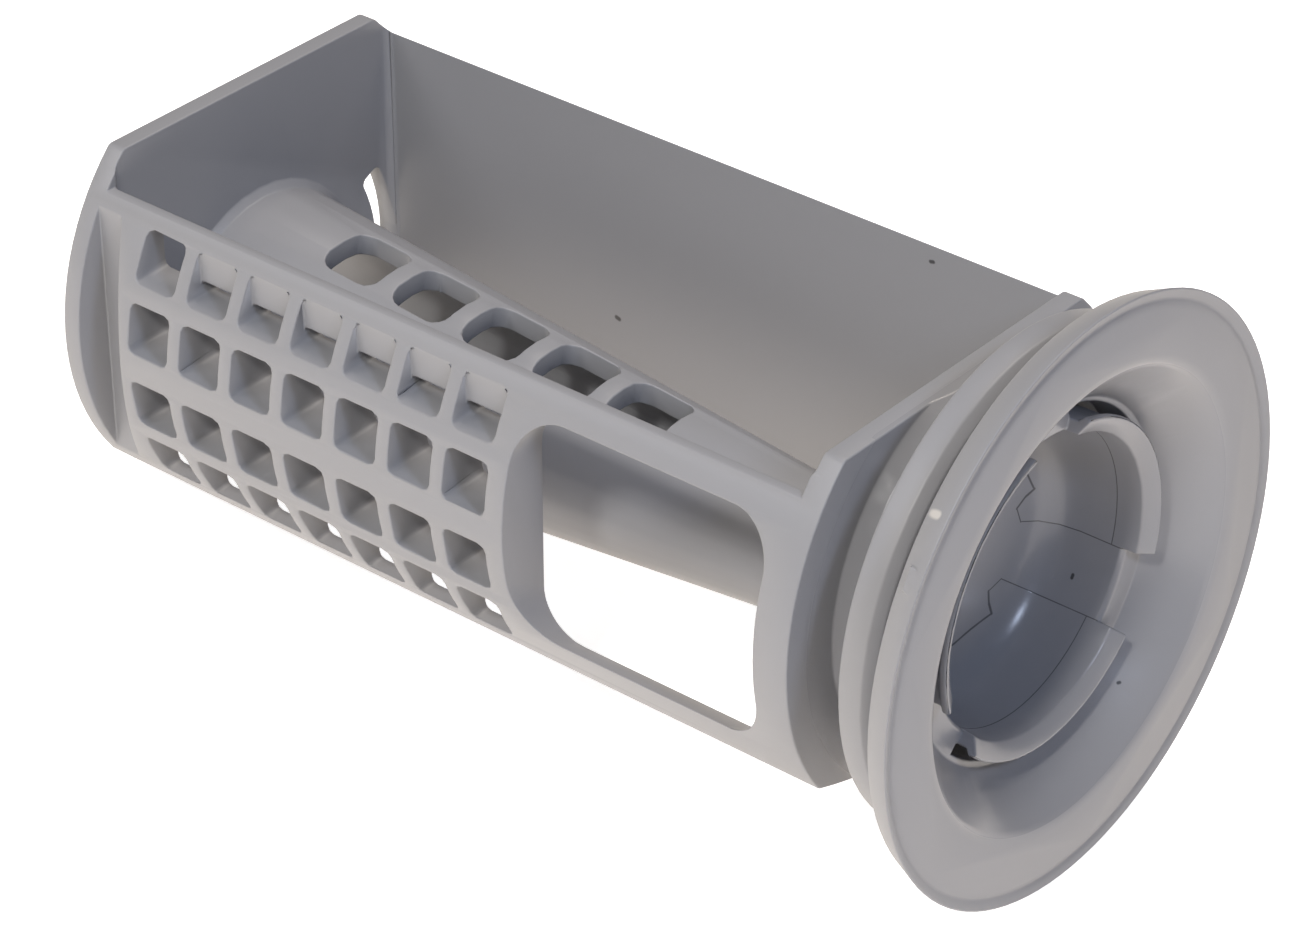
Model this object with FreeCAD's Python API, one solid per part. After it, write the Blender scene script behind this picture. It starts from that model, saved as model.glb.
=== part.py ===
import FreeCAD, Part
import math
import os
from FreeCAD import Vector

# A one-piece lint filter insert, injection moulded.
# X runs along the filter axis toward the flange. Z is up, out of the open trough, and
# the perforated side wall is on the -Y side. Stations along X are written from the face
# of the flange, and the finished part is moved so that the socket mouth is its origin.

# Envelope of the insert
OVERALL_LENGTH = 130.3
FLANGE_RADIUS = 37.5
BODY_RADIUS = 32.15
BODY_TOP = 23.0
FLOOR_DROP = 24.3
FLOOR_RADIUS = 70.0
BODY_CORNER = 1.2

# End plates
BACK_PLATE = 2.6
FRONT_PLATE_FACE = -17.5
FRONT_PLATE = 2.8

# Side walls
TROUGH_HALF_WIDTH = 24.75
WALL = 2.45
WALL_FILLET = 1.2

# Grid of cells in the near wall
CELL_FIRST_X = -119.2
CELL_COLUMNS = 7
CELL_PITCH = 8.5
CELL_LENGTH = 6.5
CELL_INNER_ROW = (2.05, 8.6)
CELL_OUTER_ROW = (11.0, 17.1)
CELL_CORNER = 0.9
PAD_LEAD = 3.4
PAD_BORDER = 1.2
PAD_FILLET = 0.8

# Window beside the grid
WINDOW_RIB = 2.8
WINDOW_TOP = 15.7
WINDOW_SILL = -12.0
WINDOW_SILL_DROP = 4.0
WINDOW_MARGIN = 2.05
WINDOW_CORNER = 6.0

# Tapered duct with its row of slots
DUCT_DROP = 9.1
DUCT_BACK_RADIUS = 16.1
DUCT_FRONT_RADIUS = 6.9
DUCT_WALL = 2.8
DUCT_FLARE = 0.9
DUCT_SIDES = 36
SLOT_COUNT = 5
SLOT_FIRST_X = -112.4
SLOT_PITCH = 11.35
SLOT_LENGTH = 7.7
SLOT_WIDTH = 7.7
SLOT_CORNER = 1.9

# Curved relief slot in the back plate
RELIEF_GAP = 5.2
RELIEF_CLEARANCE = 0.15
RELIEF_START = -8.0
RELIEF_SWEEP = 34.5
RELIEF_CORNER = 0.9

# Flange, seal groove and collar
FLANGE_THICKNESS = 3.5
FLANGE_REAR_RADIUS = 36.0
FACE_GROOVE_RADIUS = 36.1
FACE_GROOVE_HALF_WIDTH = 1.1
FACE_GROOVE_DEPTH = 0.5
SEAL_GROOVE_RADIUS = 29.4
COLLAR_RADIUS = 31.3
COLLAR_FRONT = -6.9
COLLAR_REAR = -11.0
COLLAR_EDGE = 1.1
NECK_RADIUS = 22.4
NECK_FILLET = 1.6

# Funnel, knob socket and snap hooks
LIP_RADIUS = 28.6
LIP_ROUND = 2.4
LAND_DEPTH = 6.8
LAND_RADIUS = 22.4
SOCKET_RADIUS = 18.5
SOCKET_EDGE = 0.5
SOCKET_FLOOR = -18.0
SOCKET_FILLET = 5.0
HOOK_COUNT = 3
HOOK_ANGLE = 92.0
HOOK_FIRST_GAP = -29.0
HOOK_WALL = 1.8
HOOK_HEIGHT = 2.9
HOOK_DRAFT = 0.2
HOOK_LEAD = 1.3
HOOK_LIP = 0.7
HOOK_LIP_THICKNESS = 1.0
HOOK_EDGE = 0.3
POCKET_WIDTH = 1.4
POCKET_DEPTH = 5.0

# Trimmed gate on the rim of the flange
GATE_WIDTH = 1.2
GATE_LENGTH = 2.8
GATE_HEIGHT = 0.2
GATE_ANGLE = 149.0

# Positions that follow from the sizes above
BACK_FACE = -OVERALL_LENGTH
BACK_INNER = BACK_FACE + BACK_PLATE
FRONT_INNER = FRONT_PLATE_FACE - FRONT_PLATE
WALL_OUTER = TROUGH_HALF_WIDTH + WALL
PAD_FRONT = CELL_FIRST_X + (CELL_COLUMNS - 1) * CELL_PITCH + CELL_LENGTH
WINDOW_REAR = PAD_FRONT + WINDOW_RIB
WINDOW_FRONT = FRONT_INNER - WINDOW_MARGIN
SOCKET_MOUTH = -LAND_DEPTH - SOCKET_EDGE
HOOK_PITCH = 360.0 / HOOK_COUNT
HOOK_START = HOOK_FIRST_GAP + (HOOK_PITCH - HOOK_ANGLE) / 2
HOOK_OUTER = SOCKET_RADIUS + HOOK_WALL
HOOK_TOP = HOOK_HEIGHT - LAND_DEPTH
BACK_ROOT = BACK_INNER - BACK_PLATE / 2
FRONT_ROOT = FRONT_INNER + FRONT_PLATE / 2
EDGE_CHORDS = 1
CORNER_CHORDS = 2
ROUND_CHORDS = 3
OVERLAP = 0.5
REACH = 2.0 * FLANGE_RADIUS
TINY = 0.001


def corner_points(before, corner, after, radius):
    """Start, middle and end of the arc that rounds one corner of an outline."""
    here = Vector(corner[0], corner[1], 0)
    to_before = (Vector(before[0], before[1], 0) - here).normalize()
    to_after = (Vector(after[0], after[1], 0) - here).normalize()
    half = to_before.getAngle(to_after) / 2.0
    setback = radius / math.tan(half)
    bisector = (to_before + to_after).normalize()
    centre = here + bisector * (radius / math.sin(half))
    middle = centre - bisector * radius
    return here + to_before * setback, middle, here + to_after * setback


def outline(corners, place):
    """Closed wire through (u, v, radius) corners, set in space by place(u, v)."""
    edges = []
    last = None
    first = None
    count = len(corners)
    for index, corner in enumerate(corners):
        before = corners[index - 1]
        after = corners[(index + 1) % count]
        if corner[2] > 0:
            start, middle, end = corner_points(before, corner, after, corner[2])
        else:
            start = end = Vector(corner[0], corner[1], 0)
        if last is None:
            first = start
        else:
            edges.append(Part.makeLine(place(last.x, last.y), place(start.x, start.y)))
        if corner[2] > 0:
            arc = Part.Arc(place(start.x, start.y), place(middle.x, middle.y), place(end.x, end.y))
            edges.append(arc.toShape())
        last = end
    edges.append(Part.makeLine(place(last.x, last.y), place(first.x, first.y)))
    return Part.Wire(edges)


def polygon(corners, place, chords):
    """Closed wire like outline, with each rounded corner drawn as a few straight chords."""
    points = []
    for index, corner in enumerate(corners):
        if corner[2] > 0:
            after = corners[(index + 1) % len(corners)]
            arc = Part.Arc(*corner_points(corners[index - 1], corner, after, corner[2]))
            points += arc.toShape().discretize(Number=chords + 1)
        else:
            points.append(Vector(corner[0], corner[1], 0))
    points = [place(point.x, point.y) for point in points]
    return Part.makePolygon(points + points[:1])


def turned(corners, centre_z=0.0, start=0.0, sweep=360.0, chords=EDGE_CHORDS):
    """Solid turned about a line parallel to X from (x, radius, rounding) corners."""
    face = Part.Face(polygon(corners, lambda x, r: Vector(x, r, 0), chords))
    solid = face.revolve(Vector(0, 0, 0), Vector(1, 0, 0), sweep)
    solid.rotate(Vector(0, 0, 0), Vector(1, 0, 0), start)
    solid.translate(Vector(0, 0, centre_z))
    return solid


def body_section():
    """Outline of the end plates: round sides, flat top and a shallow curved floor."""
    floor_centre = FLOOR_RADIUS - FLOOR_DROP
    corner_z = (BODY_RADIUS ** 2 - FLOOR_RADIUS ** 2 + floor_centre ** 2) / (2 * floor_centre)
    corner_y = math.sqrt(BODY_RADIUS ** 2 - corner_z ** 2)
    top_y = math.sqrt(BODY_RADIUS ** 2 - BODY_TOP ** 2)
    near_top = Vector(0, -top_y, BODY_TOP)
    far_top = Vector(0, top_y, BODY_TOP)
    near_foot = Vector(0, -corner_y, corner_z)
    far_foot = Vector(0, corner_y, corner_z)
    edges = [
        Part.makeLine(far_top, near_top),
        Part.Arc(near_top, Vector(0, -BODY_RADIUS, 0), near_foot).toShape(),
        Part.Arc(near_foot, Vector(0, 0, -FLOOR_DROP), far_foot).toShape(),
        Part.Arc(far_foot, Vector(0, BODY_RADIUS, 0), far_top).toShape(),
    ]
    return Part.Face(Part.Wire(edges))


def along_x(edge):
    """True for a straight edge parallel to X."""
    box = edge.BoundBox
    return box.XLength > TINY and box.YLength < TINY and box.ZLength < TINY


def envelope(x_from, x_to):
    """The body's outline between two stations, with its long corners rounded."""
    section = body_section()
    section.translate(Vector(x_from, 0, 0))
    prism = section.extrude(Vector(x_to - x_from, 0, 0))
    return prism.makeFillet(BODY_CORNER, [e for e in prism.Edges if along_x(e)])


def far_wall():
    """Plain wall between the plates, coved into both of them."""
    cove = WALL_FILLET + OVERLAP
    corners = [
        (BACK_ROOT, TROUGH_HALF_WIDTH - cove, 0),
        (BACK_INNER, TROUGH_HALF_WIDTH - cove, 0),
        (BACK_INNER, TROUGH_HALF_WIDTH, WALL_FILLET),
        (FRONT_INNER, TROUGH_HALF_WIDTH, WALL_FILLET),
        (FRONT_INNER, TROUGH_HALF_WIDTH - cove, 0),
        (FRONT_ROOT, TROUGH_HALF_WIDTH - cove, 0),
        (FRONT_ROOT, WALL_OUTER, 0),
        (BACK_ROOT, WALL_OUTER, 0),
    ]
    return wall_prism(corners)


def near_wall():
    """Wall with the block that carries the grid and the window out to the body radius."""
    cove = WALL_FILLET + OVERLAP
    edge_y = -BODY_RADIUS - OVERLAP
    rear = CELL_FIRST_X - PAD_BORDER
    corners = [
        (BACK_ROOT, cove - TROUGH_HALF_WIDTH, 0),
        (BACK_INNER, cove - TROUGH_HALF_WIDTH, 0),
        (BACK_INNER, -TROUGH_HALF_WIDTH, WALL_FILLET),
        (FRONT_INNER, -TROUGH_HALF_WIDTH, WALL_FILLET),
        (FRONT_INNER, cove - TROUGH_HALF_WIDTH, 0),
        (FRONT_ROOT, cove - TROUGH_HALF_WIDTH, 0),
        (FRONT_ROOT, edge_y, 0),
        (rear, edge_y, 0),
        (rear - PAD_LEAD, -WALL_OUTER, PAD_FILLET),
        (BACK_ROOT, -WALL_OUTER, 0),
    ]
    return wall_prism(corners)


def wall_prism(corners):
    """Upright wall over an outline of (x, y, radius) corners, trimmed by the envelope."""
    face = Part.Face(outline(corners, lambda x, y: Vector(x, y, -REACH)))
    wall = face.extrude(Vector(0, 0, 2 * REACH))
    return wall.common(envelope(BACK_ROOT, FRONT_ROOT))


def grid_cell(x_rear, z_low, z_high):
    """Cutter for one cell: a rounded opening through the wall."""
    y_from = -BODY_RADIUS - OVERLAP
    corners = [
        (x_rear, z_low, CELL_CORNER),
        (x_rear + CELL_LENGTH, z_low, CELL_CORNER),
        (x_rear + CELL_LENGTH, z_high, CELL_CORNER),
        (x_rear, z_high, CELL_CORNER),
    ]
    face = Part.Face(polygon(corners, lambda x, z: Vector(x, y_from, z), CORNER_CHORDS))
    return face.extrude(Vector(0, OVERLAP - TROUGH_HALF_WIDTH - y_from, 0))


def grid_cells():
    """All cells: the same two rows above and below the middle, in equal columns."""
    rows = [CELL_OUTER_ROW, CELL_INNER_ROW]
    rows += [(-high, -low) for low, high in rows]
    cells = []
    for column in range(CELL_COLUMNS):
        x_rear = CELL_FIRST_X + column * CELL_PITCH
        for low, high in rows:
            cells.append(grid_cell(x_rear, low, high))
    return cells


def window():
    """Cutters for the window: a rounded opening, and its sill sloped down into the trough."""
    y_from = -BODY_RADIUS - OVERLAP
    depth = OVERLAP - TROUGH_HALF_WIDTH - y_from
    slope = WINDOW_SILL_DROP / (BODY_RADIUS - TROUGH_HALF_WIDTH)
    sill = WINDOW_SILL + slope * OVERLAP
    opening = [
        (WINDOW_REAR, WINDOW_SILL, WINDOW_CORNER),
        (WINDOW_FRONT, WINDOW_SILL, WINDOW_CORNER),
        (WINDOW_FRONT, WINDOW_TOP, WINDOW_CORNER),
        (WINDOW_REAR, WINDOW_TOP, WINDOW_CORNER),
    ]
    lower_part = [
        (WINDOW_REAR, sill, WINDOW_CORNER),
        (WINDOW_FRONT, sill, WINDOW_CORNER),
        (WINDOW_FRONT, sill + WINDOW_TOP, 0),
        (WINDOW_REAR, sill + WINDOW_TOP, 0),
    ]
    cutters = []
    for corners, drop in ((opening, 0), (lower_part, slope * depth)):
        face = Part.Face(outline(corners, lambda x, z: Vector(x, y_from, z)))
        cutters.append(face.extrude(Vector(0, depth, -drop)))
    return cutters


def duct_radius(x):
    """Outer radius of the tapered duct at a station."""
    share = (x - BACK_INNER) / (FRONT_INNER - BACK_INNER)
    return DUCT_BACK_RADIUS + share * (DUCT_FRONT_RADIUS - DUCT_BACK_RADIUS)


def flat_sided(stations):
    """Solid along the duct's axis through (x, radius) stations, with many flat sides."""
    step = 2 * math.pi / DUCT_SIDES
    rings = []
    for x, radius in stations:
        angles = [step * side for side in range(DUCT_SIDES)]
        rings.append([
            Vector(x, radius * math.cos(angle), radius * math.sin(angle) - DUCT_DROP)
            for angle in angles
        ])
    faces = [Part.Face(Part.makePolygon(ring + ring[:1])) for ring in (rings[0], rings[-1])]
    for ring, following in zip(rings, rings[1:]):
        for side in range(DUCT_SIDES):
            corners = [ring[side - 1], ring[side], following[side], following[side - 1]]
            faces.append(Part.Face(Part.makePolygon(corners + corners[:1])))
    return Part.Solid(Part.Shell(faces))


def duct():
    """Tapered duct between the plates, flared at both and kept inside the envelope."""
    solid = flat_sided([
        (BACK_INNER - OVERLAP, duct_radius(BACK_INNER) + DUCT_FLARE),
        (BACK_INNER, duct_radius(BACK_INNER) + DUCT_FLARE),
        (BACK_INNER + DUCT_FLARE, duct_radius(BACK_INNER + DUCT_FLARE)),
        (FRONT_INNER - DUCT_FLARE, duct_radius(FRONT_INNER - DUCT_FLARE)),
        (FRONT_INNER, duct_radius(FRONT_INNER) + DUCT_FLARE),
        (FRONT_INNER + OVERLAP, duct_radius(FRONT_INNER) + DUCT_FLARE),
    ])
    return solid.common(envelope(BACK_FACE, FRONT_INNER))


def duct_bore():
    """Hollow of the duct, open through the back plate and closed at the front."""
    end = FRONT_INNER - DUCT_WALL
    return flat_sided([
        (BACK_FACE - OVERLAP, duct_radius(BACK_FACE) - DUCT_WALL),
        (end, duct_radius(end) - DUCT_WALL),
    ])


def duct_slots():
    """Row of rounded slots through the top of the duct."""
    slots = []
    for index in range(SLOT_COUNT):
        x_rear = SLOT_FIRST_X + index * SLOT_PITCH
        corners = [
            (x_rear, -SLOT_WIDTH / 2, SLOT_CORNER),
            (x_rear + SLOT_LENGTH, -SLOT_WIDTH / 2, SLOT_CORNER),
            (x_rear + SLOT_LENGTH, SLOT_WIDTH / 2, SLOT_CORNER),
            (x_rear, SLOT_WIDTH / 2, SLOT_CORNER),
        ]
        face = Part.Face(polygon(corners, lambda x, y: Vector(x, y, -DUCT_DROP), CORNER_CHORDS))
        slots.append(face.extrude(Vector(0, 0, DUCT_DROP + BODY_TOP)))
    return slots


def relief_slot():
    """Cutter for the curved slot through the back plate, concentric with the duct."""
    inner = DUCT_BACK_RADIUS + RELIEF_GAP
    outer = TROUGH_HALF_WIDTH - RELIEF_CLEARANCE
    front = BACK_INNER + WALL_FILLET + RELIEF_CLEARANCE
    corners = [
        (BACK_FACE - OVERLAP, inner, 0),
        (front, inner, 0),
        (front, outer, 0),
        (BACK_FACE - OVERLAP, outer, 0),
    ]
    slot = turned(corners, -DUCT_DROP, RELIEF_START, RELIEF_SWEEP)
    ends = [e for e in slot.Edges if along_x(e)]
    return slot.makeFillet(RELIEF_CORNER, ends)


def front_turning():
    """Flange, seal groove, collar and neck in front of the front plate."""
    groove_in = FACE_GROOVE_RADIUS - FACE_GROOVE_HALF_WIDTH
    groove_out = FACE_GROOVE_RADIUS + FACE_GROOVE_HALF_WIDTH
    return turned([
        (0, 0, 0),
        (FRONT_PLATE_FACE + NECK_FILLET, 0, 0),
        (FRONT_PLATE_FACE + NECK_FILLET, NECK_RADIUS, 0),
        (COLLAR_REAR, COLLAR_RADIUS, 0),
        (COLLAR_FRONT, COLLAR_RADIUS, COLLAR_EDGE),
        (COLLAR_FRONT, SEAL_GROOVE_RADIUS, 0),
        (-FLANGE_THICKNESS, SEAL_GROOVE_RADIUS, 0),
        (-FLANGE_THICKNESS, FLANGE_REAR_RADIUS, 0),
        (0, FLANGE_RADIUS, 0),
        (0, groove_out, 0),
        (-FACE_GROOVE_DEPTH, FACE_GROOVE_RADIUS, 0),
        (0, groove_in, 0),
    ])


def neck_foot():
    """Flare of the neck on the front plate, inside the body's outline."""
    foot = NECK_RADIUS + NECK_FILLET
    front = FRONT_PLATE_FACE + NECK_FILLET
    solid = turned([
        (front, 0, 0),
        (FRONT_ROOT, 0, 0),
        (FRONT_ROOT, foot + OVERLAP, 0),
        (FRONT_PLATE_FACE, foot + OVERLAP, 0),
        (FRONT_PLATE_FACE, NECK_RADIUS, NECK_FILLET),
        (front, NECK_RADIUS, 0),
    ])
    return solid.common(envelope(FRONT_ROOT, front))


def mouth():
    """Cutter for the funnel, the land round the socket and the bowl of the socket."""
    corners = [
        (OVERLAP, 0, 0),
        (OVERLAP, LIP_RADIUS + LIP_ROUND, 0),
        (0, LIP_RADIUS + LIP_ROUND, 0),
        (0, LIP_RADIUS, LIP_ROUND),
        (-LAND_DEPTH, LAND_RADIUS, 0),
        (-LAND_DEPTH, SOCKET_RADIUS + SOCKET_EDGE, 0),
        (SOCKET_MOUTH, SOCKET_RADIUS, 0),
        (SOCKET_FLOOR, SOCKET_RADIUS, SOCKET_FILLET),
        (SOCKET_FLOOR, 0, 0),
    ]
    return turned(corners, chords=ROUND_CHORDS)


def hook_ring(corners):
    """One section turned over the angle of each snap hook."""
    starts = [HOOK_START + n * HOOK_PITCH for n in range(HOOK_COUNT)]
    return [turned(corners, 0.0, start, HOOK_ANGLE) for start in starts]


def hook_pockets():
    """Pockets behind the hooks, where they bend."""
    outer = HOOK_OUTER + POCKET_WIDTH
    return hook_ring([
        (-LAND_DEPTH + OVERLAP, HOOK_OUTER, 0),
        (-LAND_DEPTH + OVERLAP, outer, 0),
        (-LAND_DEPTH - POCKET_DEPTH, outer, 0),
        (-LAND_DEPTH - POCKET_DEPTH, HOOK_OUTER, 0),
    ])


def snap_hooks():
    """Three curved hooks that stand on the land, with sloped tops and outward lips."""
    lip = HOOK_OUTER + HOOK_LIP
    foot = SOCKET_MOUTH - OVERLAP
    return hook_ring([
        (foot, SOCKET_RADIUS, 0),
        (SOCKET_MOUTH, SOCKET_RADIUS, 0),
        (HOOK_TOP - HOOK_LEAD, SOCKET_RADIUS + HOOK_DRAFT, 0),
        (HOOK_TOP, lip - HOOK_EDGE, 0),
        (HOOK_TOP - HOOK_EDGE, lip, 0),
        (HOOK_TOP - HOOK_LIP_THICKNESS, lip, 0),
        (HOOK_TOP - HOOK_LIP_THICKNESS - HOOK_LIP, HOOK_OUTER, 0),
        (foot, HOOK_OUTER, 0),
    ])


def gate_mark():
    """Low trimmed stub where the plastic entered, on the rim of the flange."""
    rim = FLANGE_RADIUS - (FLANGE_RADIUS - FLANGE_REAR_RADIUS) / 2
    middle = -FLANGE_THICKNESS / 2
    stub = Part.makeBox(
        GATE_WIDTH, OVERLAP + GATE_HEIGHT, GATE_LENGTH,
        Vector(middle - GATE_WIDTH / 2, rim - OVERLAP, -GATE_LENGTH / 2))
    stub.rotate(Vector(0, 0, 0), Vector(1, 0, 0), GATE_ANGLE)
    return stub


def filter_body():
    """The whole moulding as one solid, its origin at the mouth of the knob socket."""
    near = near_wall().cut(Part.makeCompound(grid_cells())).cut(window())
    body = envelope(BACK_FACE, BACK_INNER).multiFuse([
        envelope(FRONT_INNER, FRONT_PLATE_FACE),
        near,
        far_wall(),
        duct(),
        neck_foot(),
        front_turning(),
        gate_mark(),
    ])
    body = body.cut(mouth())
    cutters = duct_slots() + hook_pockets() + [duct_bore(), relief_slot()]
    body = body.cut(Part.makeCompound(cutters))
    body = body.multiFuse(snap_hooks()).removeSplitter()
    body.translate(Vector(-SOCKET_MOUTH, 0, 0))
    return body


def main():
    os.makedirs("parts", exist_ok=True)
    body = filter_body()
    print("solids", len(body.Solids), "valid", body.isValid(), "volume", round(body.Volume))
    body.exportStep("parts/filter_body.step")


main()
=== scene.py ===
import math

import bmesh
import bpy
from bpy.props import FloatProperty, FloatVectorProperty, PointerProperty
from mathutils import Matrix, Vector
from mathutils.geometry import intersect_point_line


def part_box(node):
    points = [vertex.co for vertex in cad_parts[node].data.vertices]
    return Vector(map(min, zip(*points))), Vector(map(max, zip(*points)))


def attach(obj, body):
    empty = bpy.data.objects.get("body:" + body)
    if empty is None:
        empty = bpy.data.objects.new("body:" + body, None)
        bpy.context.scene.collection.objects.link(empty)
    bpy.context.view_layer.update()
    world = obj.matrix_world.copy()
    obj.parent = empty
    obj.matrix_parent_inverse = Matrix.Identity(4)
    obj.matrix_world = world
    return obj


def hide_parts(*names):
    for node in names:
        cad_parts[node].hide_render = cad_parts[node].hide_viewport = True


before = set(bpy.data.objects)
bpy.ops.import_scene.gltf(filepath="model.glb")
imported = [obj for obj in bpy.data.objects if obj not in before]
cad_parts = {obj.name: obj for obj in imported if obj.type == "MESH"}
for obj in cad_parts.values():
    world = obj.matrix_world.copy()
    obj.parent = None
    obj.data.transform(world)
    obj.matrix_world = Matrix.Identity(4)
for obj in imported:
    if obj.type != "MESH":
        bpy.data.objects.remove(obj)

bl_info = {
    "name": "Lint Filter Finish",
    "version": (1, 0, 0),
    "blender": (4, 5, 0),
    "location": "3D View > Sidebar > Lint Filter",
    "description": "Satin moulded finish, stage and camera for a one-piece lint filter insert",
    "category": "Object",
}

BODY_NODE = "filter_body"
BODY_LOW, BODY_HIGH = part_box(BODY_NODE)
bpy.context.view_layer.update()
MM = 0.001

# How the node's loose triangles become one mesh with few edges
JOIN_DISTANCE = 0.01 * MM
FLAT_ANGLE = math.radians(0.5)
SLIVER_ANGLE = math.radians(4.0)
SLIVER_WIDTH = 0.3 * MM
SLIVER_MIDDLE = (0.05, 0.95)

# Which edges are rounded, and in how many steps
SHARP_ANGLE = math.radians(32.0)
EDGE_STEPS = 3
CORNER_STEPS = 4
PARALLEL = 0.99

# Where the insert touches the floor when it lies on its flange and its back plate
FLANGE_FOOT = Vector((BODY_HIGH.x, 0.0, BODY_LOW.z))
BACK_FOOT = Vector((BODY_LOW.x, 0.0, -24.3 * MM))

# Lamps: name, place, width, power in watts and colour, and the point that they all face
LAMPS = (
    ("key", (0.12, -0.66, 0.74), 0.12, 5.4, (0.98, 0.95, 0.9)),
    ("near_fill", (-0.49, -0.6, 0.68), 0.5, 2.9, (1.0, 0.97, 0.95)),
    ("flash", (0.66, -0.22, 0.64), 0.15, 2.7, (0.66, 0.76, 1.0)),
    ("far_fill", (-0.05, 0.42, 0.91), 0.5, 5.0, (1.0, 0.9, 0.8)),
)
LIT_POINT = (-0.05, 0.0, 0.0)
SURROUND_STRENGTH = 0.02
GLOW_STRENGTH = 1.25
FLOOR_ROUGHNESS = 0.9

# The point that the camera looks at, and the width of its sensor in millimetres
SEEN_POINT = Vector((-55.67, 0.0, -8.64)) * MM
SENSOR_WIDTH = 36.0

# The knob socket, and the hooks round its mouth
SOCKET_RADIUS = 18.5 * MM
SOCKET_FLOOR = -10.7 * MM
SOCKET_FIRST_GAP = math.radians(-29.0)
HOOK_SECTOR = math.radians(120.0)
HOOK_HALF_ANGLE = math.radians(46.0)
HOOK_STEP = -1.3 * MM

# How far out and how far down the polished surface of the mouth goes, and how it fades
POLISH_RADIUS = 30.0 * MM
POLISH_EDGE = 2.0 * MM
POLISH_DEPTH_EDGE = 1.0 * MM

# Seams of the mould's cores in half a hook sector: (0, along the hook's middle, across it)
SEAM_CORNERS = (
    Vector((0.0, 13.6, 0.0)) * MM,
    Vector((0.0, 13.0, 7.0)) * MM,
    Vector((0.0, 9.8, 6.7)) * MM,
    Vector((0.0, 9.4, 9.2)) * MM,
    Vector((0.0, 12.9, 13.4)) * MM,
)
# How bold each seam is drawn and how dark: real seam lines with painted shade of the gaps along
# them
SEAM_AND_SHADE_BOLDNESS = (2.2, 3.2, 1.6, 1.2)
SEAM_AND_SHADE_DARKNESS = 0.8

# Where the seams end at the socket's wall and floor: where they are gone, where they are full
SEAM_RADII = (SOCKET_RADIUS + 0.2 * MM, SOCKET_RADIUS + 0.1 * MM)
SEAM_DEPTHS = (SOCKET_FLOOR - 0.4 * MM, SOCKET_FLOOR - 0.3 * MM)

# Where a fine mark has faded out and where it is full, as shares of its width
MARK_EDGE = 0.5
MARK_CORE = 0.2
STEP_EDGE = 0.6

# Dark specks in the plastic: start, end and width of each
SPECKS = (
    (Vector((-82.1, 24.75, -7.9)) * MM, Vector((-81.7, 24.75, -8.0)) * MM, 0.9 * MM),
    (Vector((-33.5, 24.75, 18.2)) * MM, Vector((-33.1, 24.75, 18.3)) * MM, 0.7 * MM),
    (Vector((3.2, 14.2, -20.5)) * MM, Vector((3.3, 14.4, -20.5)) * MM, 0.6 * MM),
    (Vector((-5.0, 15.6, -9.9)) * MM, Vector((-5.0, 15.8, -9.6)) * MM, 0.6 * MM),
)

# Pale spot on the flange's rim where the plastic was let in: the scar's paler plastic with a
# painted highlight on its nick
GATE_SCAR = (Vector((5.6, -26.9, 24.8)) * MM, Vector((4.4, -26.9, 24.8)) * MM)
GATE_SCAR_WIDTH = 1.4 * MM
GATE_SCAR_AND_HIGHLIGHT_PALENESS = 0.7

# How far the flow marks are drawn out along each axis, and how much rougher they are
FLOW_STRETCH = (0.35, 1.0, 1.0)
FLOW_ROUGHNESS = 0.04

# Height of the mould grain, and how strongly it shows
GRAIN_HEIGHT = 0.02 * MM
GRAIN_STRENGTH = 0.3

# Web that stands behind the ribs of the top row of cells, with one slit under it in each cell
BODY_RADIUS = 32.15 * MM
TROUGH_HALF_WIDTH = 24.75 * MM
WEB_CELLS = 6
WEB_FIRST_X = -103.4 * MM
CELL_PITCH = 8.5 * MM
CELL_LENGTH = 6.5 * MM
WEB_TOP = 17.1 * MM
WEB_FOOT = 11.4 * MM
WEB_OUTER = math.sqrt(BODY_RADIUS ** 2 - WEB_TOP ** 2)
WEB_MARGIN = 0.6 * MM
SLIT_TOP = 13.0 * MM
SLIT_FOOT = 8.4 * MM
SLIT_CORNER = 1.1 * MM
SLIT_MARGIN = 0.3 * MM
CUT_MARGIN = 1.0 * MM

# Flat top of the perforated wall, cut between the two end plates through their coves
WALL_TOP = 18.8 * MM
WALL_REAR = -120.05 * MM
WALL_FRONT = -13.35 * MM
COVE_REACH = 4.0 * MM

# Slots through the top of the duct
SLOT_COUNT = 5
SLOT_FIRST_X = -105.6 * MM
SLOT_PITCH = 11.35 * MM
SLOT_LENGTH = 8.7 * MM
SLOT_SIDES = (-4.9 * MM, 3.95 * MM)
SLOT_CORNER = 2.1 * MM
DUCT_AXIS_Z = -9.1 * MM


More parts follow.
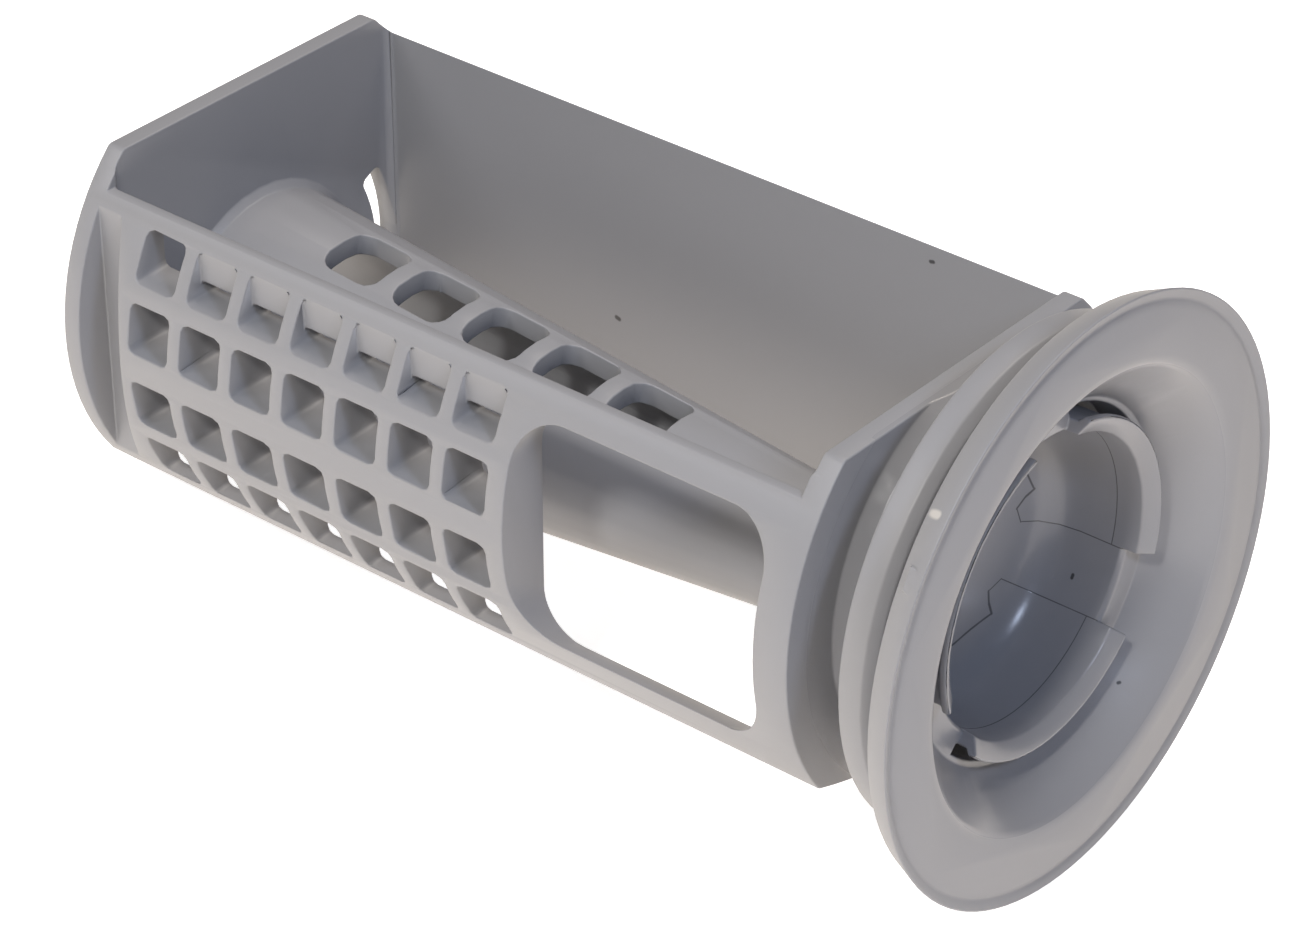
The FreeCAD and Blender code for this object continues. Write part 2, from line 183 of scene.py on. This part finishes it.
class PlasticSettings(bpy.types.PropertyGroup):
    """Colours and surface of the moulded plastic."""

    base_color: FloatVectorProperty(
        name="Plastic colour",
        description="Main colour of the grey plastic",
        default=(0.267, 0.271, 0.291),
        subtype="COLOR",
        size=3,
        min=0.0,
        max=1.0,
    )
    flow_color: FloatVectorProperty(
        name="Flow colour",
        description="Slightly different grey in the broad flow marks",
        default=(0.282, 0.285, 0.303),
        subtype="COLOR",
        size=3,
        min=0.0,
        max=1.0,
    )
    # Also the near-black colour of the painted shade along the core seams
    speck_and_shade_color: FloatVectorProperty(
        name="Speck colour",
        description="Colour of the few dark specks in the plastic",
        default=(0.06, 0.06, 0.065),
        subtype="COLOR",
        size=3,
        min=0.0,
        max=1.0,
    )
    # Paler colour of the gate's scar, with a painted highlight on its nick
    gate_scar_and_highlight_color: FloatVectorProperty(
        name="Worn colour",
        description="Paler grey of the gate's scar",
        default=(0.62, 0.60, 0.57),
        subtype="COLOR",
        size=3,
        min=0.0,
        max=1.0,
    )
    roughness: FloatProperty(
        name="Roughness",
        description="Mean roughness of the satin surface",
        default=0.44,
        min=0.0,
        max=1.0,
        subtype="FACTOR",
    )
    polished_roughness: FloatProperty(
        name="Polished roughness",
        description="Roughness in the mouth and the knob socket, where the core was polished",
        default=0.24,
        min=0.0,
        max=1.0,
        subtype="FACTOR",
    )
    grain_size: FloatProperty(
        name="Grain size",
        description="Width of one grain of the mould texture",
        default=0.35 * MM,
        min=0.05 * MM,
        max=2.0 * MM,
        unit="LENGTH",
    )
    flow_size: FloatProperty(
        name="Flow mark size",
        description="Width of one broad flow mark",
        default=28.0 * MM,
        min=1.0 * MM,
        unit="LENGTH",
    )
    seam_width: FloatProperty(
        name="Seam width",
        description="Width of the seams that the mould's cores leave",
        default=0.16 * MM,
        min=0.01 * MM,
        max=1.0 * MM,
        unit="LENGTH",
    )
    edge_radius: FloatProperty(
        name="Edge radius",
        description="Radius of the moulded edges",
        default=0.22 * MM,
        min=0.0,
        max=1.0 * MM,
        unit="LENGTH",
    )


class StageSettings(bpy.types.PropertyGroup):
    """Floor, lights and camera."""

    floor_color: FloatVectorProperty(
        name="Floor colour",
        description="Colour of the plain pale floor",
        default=(0.9, 0.9, 0.9),
        subtype="COLOR",
        size=3,
        min=0.0,
        max=1.0,
    )
    glow_color: FloatVectorProperty(
        name="Floor glow",
        description="Light that the floor itself shows, which keeps its shadows pale",
        default=(0.64, 0.64, 0.64),
        subtype="COLOR",
        size=3,
        min=0.0,
        max=1.0,
    )
    bounce_color: FloatVectorProperty(
        name="Floor bounce",
        description="Warm light that the floor sends up onto the object",
        default=(0.62, 0.54, 0.45),
        subtype="COLOR",
        size=3,
        min=0.0,
        max=1.0,
    )
    floor_size: FloatProperty(
        name="Floor size",
        description="Width of the square floor",
        default=6.0,
        min=1.0,
        unit="LENGTH",
    )
    lens: FloatProperty(
        name="Lens",
        description="Focal length in millimetres on a 36 mm sensor",
        default=122.55,
        min=20.0,
        max=300.0,
    )
    camera_distance: FloatProperty(
        name="Camera distance",
        description="Distance from the camera to the point it looks at",
        default=0.53654,
        min=0.1,
        unit="LENGTH",
    )
    camera_azimuth: FloatProperty(
        name="Azimuth",
        description="Angle of the camera round the object, from the perforated side",
        default=math.radians(39.55),
        subtype="ANGLE",
    )
    camera_elevation: FloatProperty(
        name="Elevation",
        description="Angle of the camera above the horizon",
        default=math.radians(32.816),
        subtype="ANGLE",
    )


def new_material(name):
    """Empty node material with its output node."""
    material = bpy.data.materials.new(name)
    material.use_nodes = True
    nodes = material.node_tree.nodes
    nodes.clear()
    output = nodes.new("ShaderNodeOutputMaterial")
    return material, nodes, material.node_tree.links, output


def feed(tree, socket, value):
    """Link a socket to another node's output, or set it to a fixed value."""
    if isinstance(value, bpy.types.NodeSocket):
        tree.links.new(value, socket)
    else:
        socket.default_value = value


def maths(tree, operation, *values):
    """Result of one Math node."""
    node = tree.nodes.new("ShaderNodeMath")
    node.operation = operation
    for socket, value in zip(node.inputs, values):
        feed(tree, socket, value)
    return node.outputs["Value"]


def vector_maths(tree, operation, *values):
    """Result of one Vector Math node."""
    node = tree.nodes.new("ShaderNodeVectorMath")
    node.operation = operation
    for socket, value in zip(node.inputs, values):
        feed(tree, socket, value)
    single = operation in {"DOT_PRODUCT", "LENGTH", "DISTANCE"}
    return node.outputs["Value" if single else "Vector"]


def fade(tree, value, start, end, low=0.0, high=1.0):
    """Smooth change from low to high as a value goes from start to end."""
    node = tree.nodes.new("ShaderNodeMapRange")
    node.interpolation_type = "SMOOTHSTEP"
    settings = {"Value": value, "From Min": start, "From Max": end, "To Min": low, "To Max": high}
    for label, setting in settings.items():
        feed(tree, node.inputs[label], setting)
    return node.outputs["Result"]


def tint(tree, color, other, share):
    """Colour that goes to the other colour where the mask is one."""
    node = tree.nodes.new("ShaderNodeMix")
    node.data_type = "RGBA"
    for index, value in ((0, share), (6, color), (7, other)):
        feed(tree, node.inputs[index], value)
    return node.outputs[2]


def shader_group(name, inputs, outputs):
    """Empty node group with its inner inputs and outputs, from rows of names and kinds."""
    group = bpy.data.node_groups.new(name, "ShaderNodeTree")
    for label, kind in inputs:
        group.interface.new_socket(label, in_out="INPUT", socket_type="NodeSocket" + kind)
    for label, kind in outputs:
        group.interface.new_socket(label, in_out="OUTPUT", socket_type="NodeSocket" + kind)
    given = group.nodes.new("NodeGroupInput").outputs
    result = group.nodes.new("NodeGroupOutput").inputs
    return group, given, result


def use_group(tree, name, **values):
    """Place a node group by name and feed its inputs."""
    node = tree.nodes.new("ShaderNodeGroup")
    node.node_tree = bpy.data.node_groups[name]
    for label, value in values.items():
        feed(tree, node.inputs[label], value)
    return node.outputs


def make_mould_grain():
    """Group: height of the fine grain that the mould leaves on the plastic."""
    tree, given, result = shader_group(
        "mould_grain", [("Vector", "Vector"), ("Size", "Float")], [("Height", "Float")]
    )
    noise = tree.nodes.new("ShaderNodeTexNoise")
    noise.inputs["Detail"].default_value = 2.0
    feed(tree, noise.inputs["Vector"], given["Vector"])
    feed(tree, noise.inputs["Scale"], maths(tree, "DIVIDE", 1.0, given["Size"]))
    feed(tree, result["Height"], noise.outputs["Fac"])


def make_flow_marks():
    """Group: mask of broad soft streaks, drawn out the way the plastic flowed."""
    tree, given, result = shader_group(
        "flow_marks", [("Vector", "Vector"), ("Size", "Float")], [("Mask", "Float")]
    )
    noise = tree.nodes.new("ShaderNodeTexNoise")
    noise.inputs["Detail"].default_value = 4.0
    drawn_out = vector_maths(tree, "MULTIPLY", given["Vector"], FLOW_STRETCH)
    feed(tree, noise.inputs["Vector"], drawn_out)
    feed(tree, noise.inputs["Scale"], maths(tree, "DIVIDE", 1.0, given["Size"]))
    feed(tree, result["Mask"], noise.outputs["Fac"])


def make_line_mark():
    """Group: mask of a fine straight mark between two points."""
    tree, given, result = shader_group(
        "line_mark",
        [("Vector", "Vector"), ("Start", "Vector"), ("End", "Vector"), ("Width", "Float")],
        [("Mask", "Float")],
    )
    line = vector_maths(tree, "SUBTRACT", given["End"], given["Start"])
    offset = vector_maths(tree, "SUBTRACT", given["Vector"], given["Start"])
    reach = vector_maths(tree, "DOT_PRODUCT", offset, line)
    share = maths(tree, "DIVIDE", reach, vector_maths(tree, "DOT_PRODUCT", line, line))
    share.node.use_clamp = True
    nearest = tree.nodes.new("ShaderNodeVectorMath")
    nearest.operation = "SCALE"
    feed(tree, nearest.inputs["Vector"], line)
    feed(tree, nearest.inputs["Scale"], share)
    distance = vector_maths(tree, "DISTANCE", offset, nearest.outputs["Vector"])
    edge = maths(tree, "MULTIPLY", given["Width"], MARK_EDGE)
    core = maths(tree, "MULTIPLY", given["Width"], MARK_CORE)
    feed(tree, result["Mask"], fade(tree, distance, edge, core))


def make_core_seams_and_shade():
    """Group: mask of the fine lines that the mould's cores leave in the knob socket, drawn wide
    enough to take in the painted shade of the gaps along them.
    """
    tree, given, result = shader_group(
        "core_seams_and_shade", [("Vector", "Vector"), ("Width", "Float")], [("Mask", "Float")]
    )
    split = tree.nodes.new("ShaderNodeSeparateXYZ")
    feed(tree, split.inputs["Vector"], given["Vector"])
    angle = maths(tree, "ARCTAN2", split.outputs["Z"], split.outputs["Y"])
    turned = maths(tree, "SUBTRACT", angle, SOCKET_FIRST_GAP)
    sector = maths(tree, "FLOORED_MODULO", turned, HOOK_SECTOR)
    local = maths(tree, "SUBTRACT", sector, HOOK_SECTOR / 2)
    flat = vector_maths(tree, "MULTIPLY", given["Vector"], (0.0, 1.0, 1.0))
    radius = vector_maths(tree, "LENGTH", flat)
    folded = tree.nodes.new("ShaderNodeCombineXYZ")
    across = maths(tree, "ABSOLUTE", maths(tree, "SINE", local))
    feed(tree, folded.inputs["Y"], maths(tree, "MULTIPLY", radius, maths(tree, "COSINE", local)))
    feed(tree, folded.inputs["Z"], maths(tree, "MULTIPLY", radius, across))
    marks = []
    for start, end, boldness in zip(SEAM_CORNERS, SEAM_CORNERS[1:], SEAM_AND_SHADE_BOLDNESS):
        width = maths(tree, "MULTIPLY", given["Width"], boldness)
        mark = use_group(
            tree, "line_mark", Vector=folded.outputs["Vector"], Start=start, End=end, Width=width
        )
        marks.append(mark["Mask"])
    seams_and_shade = marks[0]
    for mark in marks[1:]:
        seams_and_shade = maths(tree, "MAXIMUM", seams_and_shade, mark)
    inside = fade(tree, radius, *SEAM_RADII)
    in_front = fade(tree, split.outputs["X"], *SEAM_DEPTHS)
    seams_and_shade = maths(tree, "MULTIPLY", seams_and_shade, maths(tree, "MULTIPLY", inside, in_front))
    off_step = maths(tree, "ABSOLUTE", maths(tree, "SUBTRACT", split.outputs["X"], HOOK_STEP))
    step_edge = maths(tree, "MULTIPLY", given["Width"], STEP_EDGE)
    step_core = maths(tree, "MULTIPLY", given["Width"], MARK_CORE)
    step = fade(tree, off_step, step_edge, step_core)
    under_hook = maths(tree, "LESS_THAN", maths(tree, "ABSOLUTE", local), HOOK_HALF_ANGLE)
    step = maths(tree, "MULTIPLY", step, maths(tree, "MULTIPLY", under_hook, inside))
    feed(tree, result["Mask"], maths(tree, "MAXIMUM", seams_and_shade, step))


def moulded_plastic(settings):
    """Satin grey plastic: grain, flow marks, specks, core seams with painted shade along them, and
    the gate's scar with a painted highlight.
    """
    material, nodes, links, output = new_material("satin_grey_plastic")
    tree = material.node_tree
    surface = nodes.new("ShaderNodeBsdfPrincipled")
    links.new(surface.outputs["BSDF"], output.inputs["Surface"])
    place = nodes.new("ShaderNodeTexCoord").outputs["Object"]
    flow = use_group(tree, "flow_marks", Vector=place, Size=settings.flow_size)["Mask"]
    seams_and_shade = use_group(tree, "core_seams_and_shade", Vector=place, Width=settings.seam_width)["Mask"]
    color = tint(tree, (*settings.base_color, 1.0), (*settings.flow_color, 1.0), flow)
    # Seams painted near black: real seam lines with painted shade of the gaps along them
    dark = maths(tree, "MULTIPLY", seams_and_shade, SEAM_AND_SHADE_DARKNESS)
    color = tint(tree, color, (*settings.speck_and_shade_color, 1.0), dark)
    for start, end, width in SPECKS:
        speck = use_group(tree, "line_mark", Vector=place, Start=start, End=end, Width=width)
        color = tint(tree, color, (*settings.speck_and_shade_color, 1.0), speck["Mask"])
    # Gate's scar painted pale: its own paler plastic and a painted highlight on its nick
    scar = use_group(
        tree, "line_mark", Vector=place, Start=GATE_SCAR[0], End=GATE_SCAR[1], Width=GATE_SCAR_WIDTH
    )
    pale = maths(tree, "MULTIPLY", scar["Mask"], GATE_SCAR_AND_HIGHLIGHT_PALENESS)
    color = tint(tree, color, (*settings.gate_scar_and_highlight_color, 1.0), pale)
    feed(tree, surface.inputs["Base Color"], color)
    split = nodes.new("ShaderNodeSeparateXYZ")
    feed(tree, split.inputs["Vector"], place)
    flat = vector_maths(tree, "MULTIPLY", place, (0.0, 1.0, 1.0))
    radius = vector_maths(tree, "LENGTH", flat)
    in_mouth = fade(tree, radius, POLISH_RADIUS, POLISH_RADIUS - POLISH_EDGE)
    in_front = fade(tree, split.outputs["X"], SOCKET_FLOOR - POLISH_DEPTH_EDGE, SOCKET_FLOOR)
    polish = maths(tree, "MULTIPLY", in_mouth, in_front)
    rough = fade(tree, polish, 0.0, 1.0, settings.roughness, settings.polished_roughness)
    rough = maths(tree, "ADD", rough, maths(tree, "MULTIPLY", flow, FLOW_ROUGHNESS))
    feed(tree, surface.inputs["Roughness"], rough)
    grain = use_group(tree, "mould_grain", Vector=place, Size=settings.grain_size)["Height"]
    bump = nodes.new("ShaderNodeBump")
    bump.inputs["Strength"].default_value = GRAIN_STRENGTH
    bump.inputs["Distance"].default_value = GRAIN_HEIGHT
    feed(tree, bump.inputs["Height"], maths(tree, "SUBTRACT", grain, seams_and_shade))
    links.new(bump.outputs["Normal"], surface.inputs["Normal"])
    return material


def floor_material(stage):
    """Plain pale floor that is lit from below, as a light table, and sends warm light up."""
    material, nodes, links, output = new_material("pale_floor")
    surface = nodes.new("ShaderNodeBsdfPrincipled")
    surface.inputs["Base Color"].default_value = (*stage.floor_color, 1.0)
    surface.inputs["Roughness"].default_value = FLOOR_ROUGHNESS
    seen = nodes.new("ShaderNodeLightPath").outputs["Is Camera Ray"]
    glow = tint(material.node_tree, (*stage.bounce_color, 1.0), (*stage.glow_color, 1.0), seen)
    links.new(glow, surface.inputs["Emission Color"])
    surface.inputs["Emission Strength"].default_value = GLOW_STRENGTH
    links.new(surface.outputs["BSDF"], output.inputs["Surface"])
    return material


class LINTFILTER_OT_finish_body(bpy.types.Operator):
    """Build the moulding with rounded edges and give it its satin plastic."""

    bl_idname = "lintfilter.finish_body"
    bl_label = "Finish the moulding"

    def execute(self, context):
        settings = context.scene.lintfilter_plastic
        for make_group in (make_mould_grain, make_flow_marks, make_line_mark, make_core_seams_and_shade):
            make_group()
        mesh = self.joined_mesh(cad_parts[BODY_NODE])
        mesh.materials.append(moulded_plastic(settings))
        moulding = bpy.data.objects.new("moulding", mesh)
        bpy.context.scene.collection.objects.link(moulding)
        self.round_edges(moulding, settings.edge_radius)
        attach(moulding, "root")
        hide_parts(BODY_NODE)
        return {"FINISHED"}

    def joined_mesh(self, node):
        """Copy of a node's triangles with the web and the openings, in smooth faces."""
        mesh = node.data.copy()
        mesh.materials.clear()
        build = bmesh.new()
        build.from_mesh(mesh)
        bmesh.ops.remove_doubles(build, verts=build.verts, dist=JOIN_DISTANCE)
        build.to_mesh(mesh)
        build.free()
        web = combined(boxes_mesh("web", [self.web()]), [("DIFFERENCE", self.slits())])
        mesh = combined(mesh, [("UNION", web), ("DIFFERENCE", self.openings())])
        mesh.name = "moulding"
        build = bmesh.new()
        build.from_mesh(mesh)
        bmesh.ops.remove_doubles(build, verts=build.verts, dist=JOIN_DISTANCE)
        bmesh.ops.dissolve_degenerate(build, edges=build.edges, dist=JOIN_DISTANCE)
        bmesh.ops.dissolve_limit(
            build,
            angle_limit=FLAT_ANGLE,
            verts=build.verts,
            edges=build.edges,
        )
        join_slivers(build)
        for face in build.faces:
            face.smooth = True
        build.to_mesh(mesh)
        build.free()
        return mesh

    def web(self):
        """Box of the web behind the ribs, from the first of its cells to the last."""
        last_x = WEB_FIRST_X + (WEB_CELLS - 1) * CELL_PITCH + CELL_LENGTH
        low = (WEB_FIRST_X - WEB_MARGIN, -WEB_OUTER, WEB_FOOT)
        high = (last_x + WEB_MARGIN, -TROUGH_HALF_WIDTH, WEB_TOP)
        return low, high, 0.0, 0

    def slits(self):
        """Cutters for the slit under the web in each of its cells, wider than the cell."""
        boxes = []
        for index in range(WEB_CELLS):
            x_rear = WEB_FIRST_X + index * CELL_PITCH
            x_front = x_rear + CELL_LENGTH
            low = (x_rear - SLIT_MARGIN, -WEB_OUTER - CUT_MARGIN, SLIT_FOOT)
            high = (x_front + SLIT_MARGIN, -TROUGH_HALF_WIDTH + CUT_MARGIN, SLIT_TOP)
            boxes.append((low, high, SLIT_CORNER, 1))
        return boxes_mesh("slits", boxes)

    def openings(self):
        """Cutters for the flat top of the perforated wall and the slots of the duct."""
        low = (WALL_REAR, -BODY_RADIUS, WALL_TOP)
        high = (WALL_FRONT, -TROUGH_HALF_WIDTH + COVE_REACH, BODY_RADIUS)
        boxes = [(low, high, 0.0, 0)]
        for index in range(SLOT_COUNT):
            x_rear = SLOT_FIRST_X + index * SLOT_PITCH
            low = (x_rear, SLOT_SIDES[0], DUCT_AXIS_Z)
            high = (x_rear + SLOT_LENGTH, SLOT_SIDES[1], WALL_TOP)
            boxes.append((low, high, SLOT_CORNER, 2))
        return boxes_mesh("openings", boxes)

    def round_edges(self, moulding, radius):
        """Live bevel on the moulded edges, with normals that keep the faces flat."""
        bevel = moulding.modifiers.new("edge rounding", "BEVEL")
        bevel.width = radius
        bevel.segments = EDGE_STEPS
        bevel.limit_method = "ANGLE"
        bevel.angle_limit = SHARP_ANGLE
        bevel.use_clamp_overlap = False
        bevel.harden_normals = True


def boxes_mesh(name, boxes):
    """Mesh of boxes, from rows of low corner, high corner, rounding and the rounded axis."""
    mesh = bpy.data.meshes.new(name)
    build = bmesh.new()
    for low, high, rounding, axis in boxes:
        low, high = Vector(low), Vector(high)
        size = high - low
        place = Matrix.Translation((low + high) / 2) @ Matrix.Diagonal((*size, 1.0))
        cube = bmesh.ops.create_cube(build, size=1.0, matrix=place)["verts"]
        if rounding > 0:
            touching = dict.fromkeys(edge for vert in cube for edge in vert.link_edges)
            bmesh.ops.bevel(
                build,
                geom=[edge for edge in touching if runs_along(edge, axis)],
                affect="EDGES",
                offset=rounding,
                segments=CORNER_STEPS,
                profile=0.5,
                material=-1,
            )
    build.to_mesh(mesh)
    build.free()
    return mesh


def join_slivers(build):
    """Join two nearly flat faces where the edge between them passes close to a corner."""
    edges = []
    for edge in build.edges:
        if len(edge.link_faces) != 2 or edge.calc_face_angle() > SLIVER_ANGLE:
            continue
        start, end = (vert.co for vert in edge.verts)
        corners = {vert for face in edge.link_faces for vert in face.verts}
        for vert in corners.difference(edge.verts):
            nearest, share = intersect_point_line(vert.co, start, end)
            inside = SLIVER_MIDDLE[0] < share < SLIVER_MIDDLE[1]
            if inside and (vert.co - nearest).length < SLIVER_WIDTH:
                edges.append(edge)
                break
    bmesh.ops.dissolve_edges(build, edges=edges, use_verts=False)


def runs_along(edge, axis):
    """True for an edge that is parallel to the numbered axis."""
    line = edge.verts[1].co - edge.verts[0].co
    return abs(line[axis]) > PARALLEL * line.length


def combined(mesh, steps):
    """Mesh after joining or cutting it with others, from rows of operation and mesh."""
    scene = bpy.context.scene
    solid = bpy.data.objects.new("solid", mesh)
    scene.collection.objects.link(solid)
    tools = []
    for operation, shape in steps:
        tool = bpy.data.objects.new(shape.name, shape)
        scene.collection.objects.link(tool)
        tools.append(tool)
        step = solid.modifiers.new(shape.name, "BOOLEAN")
        step.operation = operation
        step.solver = "EXACT"
        step.object = tool
    graph = bpy.context.evaluated_depsgraph_get()
    result = bpy.data.meshes.new_from_object(solid.evaluated_get(graph))
    for thing in (solid, *tools):
        bpy.data.objects.remove(thing, do_unlink=True)
    return result


def area_light(name, location, target, size, power, color):
    """Square soft light that faces a point."""
    data = bpy.data.lights.new(name, "AREA")
    data.shape = "SQUARE"
    data.size = size
    data.energy = power
    data.color = color
    lamp = bpy.data.objects.new(name, data)
    lamp.location = location
    lamp.rotation_mode = "QUATERNION"
    lamp.rotation_quaternion = (Vector(target) - Vector(location)).to_track_quat("-Z", "Y")
    bpy.context.scene.collection.objects.link(lamp)
    return lamp


class LINTFILTER_OT_build_stage(bpy.types.Operator):
    """Lay the floor under the insert and set the lights and the camera."""

    bl_idname = "lintfilter.build_stage"
    bl_label = "Build the stage"

    def execute(self, context):
        stage = context.scene.lintfilter_stage
        self.lay_floor(stage)
        self.set_lights()
        self.set_camera(context, stage)
        return {"FINISHED"}

    def lay_floor(self, stage):
        """Floor through the two points that the insert rests on."""
        mesh = bpy.data.meshes.new("floor")
        build = bmesh.new()
        bmesh.ops.create_grid(build, x_segments=1, y_segments=1, size=stage.floor_size / 2)
        slope = math.atan2(BACK_FOOT.z - FLANGE_FOOT.z, FLANGE_FOOT.x - BACK_FOOT.x)
        turn = Matrix.Translation(FLANGE_FOOT) @ Matrix.Rotation(slope, 4, "Y")
        bmesh.ops.transform(build, matrix=turn, verts=build.verts)
        build.to_mesh(mesh)
        build.free()
        floor = bpy.data.objects.new("floor", mesh)
        floor.data.materials.append(floor_material(stage))
        bpy.context.scene.collection.objects.link(floor)

    def set_lights(self):
        """Neutral key and cool flash on the camera's side, and two broad soft fills."""
        for name, place, size, power, color in LAMPS:
            area_light(name, place, LIT_POINT, size, power, color)
        world = bpy.data.worlds.new("surround")
        world.use_nodes = True
        background = world.node_tree.nodes["Background"]
        background.inputs["Color"].default_value = (1.0, 1.0, 1.0, 1.0)
        background.inputs["Strength"].default_value = SURROUND_STRENGTH
        bpy.context.scene.world = world

    def set_camera(self, context, stage):
        """Camera on the sight line of the photograph."""
        azimuth, elevation = stage.camera_azimuth, stage.camera_elevation
        back = Vector((
            math.sin(azimuth) * math.cos(elevation),
            -math.cos(azimuth) * math.cos(elevation),
            math.sin(elevation),
        ))
        data = bpy.data.cameras.new("camera")
        data.lens = stage.lens
        data.sensor_width = SENSOR_WIDTH
        camera = bpy.data.objects.new("camera", data)
        camera.location = SEEN_POINT + back * stage.camera_distance
        camera.rotation_mode = "QUATERNION"
        camera.rotation_quaternion = (-back).to_track_quat("-Z", "Y")
        context.scene.collection.objects.link(camera)
        context.scene.camera = camera
        context.scene.view_settings.view_transform = "Standard"


class LINTFILTER_PT_panel(bpy.types.Panel):
    """Sidebar panel of the lint filter."""

    bl_label = "Lint Filter"
    bl_idname = "LINTFILTER_PT_panel"
    bl_space_type = "VIEW_3D"
    bl_region_type = "UI"
    bl_category = "Lint Filter"

    def draw(self, context):
        layout = self.layout
        plastic = context.scene.lintfilter_plastic
        for name in plastic.__annotations__:
            layout.prop(plastic, name)
        layout.operator(LINTFILTER_OT_finish_body.bl_idname)
        stage = context.scene.lintfilter_stage
        for name in stage.__annotations__:
            layout.prop(stage, name)
        layout.operator(LINTFILTER_OT_build_stage.bl_idname)


CLASSES = (
    PlasticSettings,
    StageSettings,
    LINTFILTER_OT_finish_body,
    LINTFILTER_OT_build_stage,
    LINTFILTER_PT_panel,
)


def register():
    for cls in CLASSES:
        bpy.utils.register_class(cls)
    bpy.types.Scene.lintfilter_plastic = PointerProperty(type=PlasticSettings)
    bpy.types.Scene.lintfilter_stage = PointerProperty(type=StageSettings)


def unregister():
    del bpy.types.Scene.lintfilter_stage
    del bpy.types.Scene.lintfilter_plastic
    for cls in reversed(CLASSES):
        bpy.utils.unregister_class(cls)


def main():
    register()
    bpy.ops.lintfilter.build_stage()
    bpy.ops.lintfilter.finish_body()


if __name__ == "__main__":
    main()
